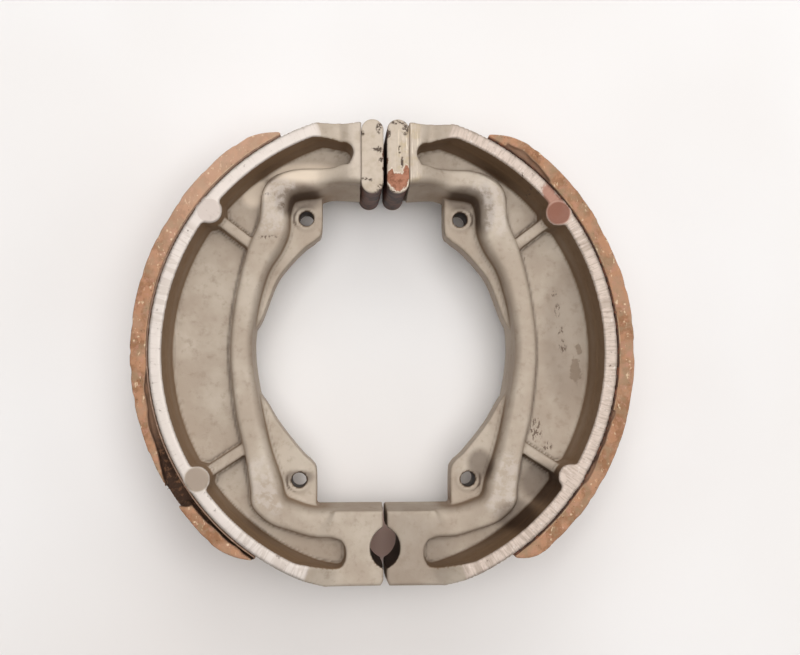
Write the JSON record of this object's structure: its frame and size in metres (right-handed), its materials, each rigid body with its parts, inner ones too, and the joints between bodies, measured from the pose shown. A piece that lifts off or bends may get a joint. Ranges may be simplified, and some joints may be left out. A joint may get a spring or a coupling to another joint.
{
  "type": "drum brake shoe pair",
  "caption": "Pair of drum brake shoes with bonded linings, laid together in the closed position; they open about the anchor pin.",
  "frame": {"origin": "the drum's centre line, on the face that the pair rests on; this is also the middle of the box's bottom", "axes": "+Z along the drum's axis, +Y from the anchor end to the cam end, X across the pair"},
  "size_m": [0.1254, 0.1164, 0.028],
  "materials": {
    "cast_aluminium": "satin as-cast, machined on the rim",
    "friction_lining": "matte, mottled and granular",
    "adhesive": "dark cured film",
    "cam_plate_steel": "oxidised and scraped"
  },
  "bodies": {
    "left_shoe": {"shoe_left": "cast_aluminium", "lining_left": "friction_lining", "bond_left": "adhesive", "cam_plate_left": "cam_plate_steel"},
    "right_shoe": {"shoe_right": "cast_aluminium", "lining_right": "friction_lining", "bond_right": "adhesive", "cam_plate_right": "cam_plate_steel"}
  },
  "joints": [
    {"name": "anchor_pivot", "type": "hinge", "parent": "left_shoe", "child": "right_shoe", "pos_m": [0, -0.04875, 0], "axis": [0, 0, -1], "range_deg": [0, 4]}
  ]
}
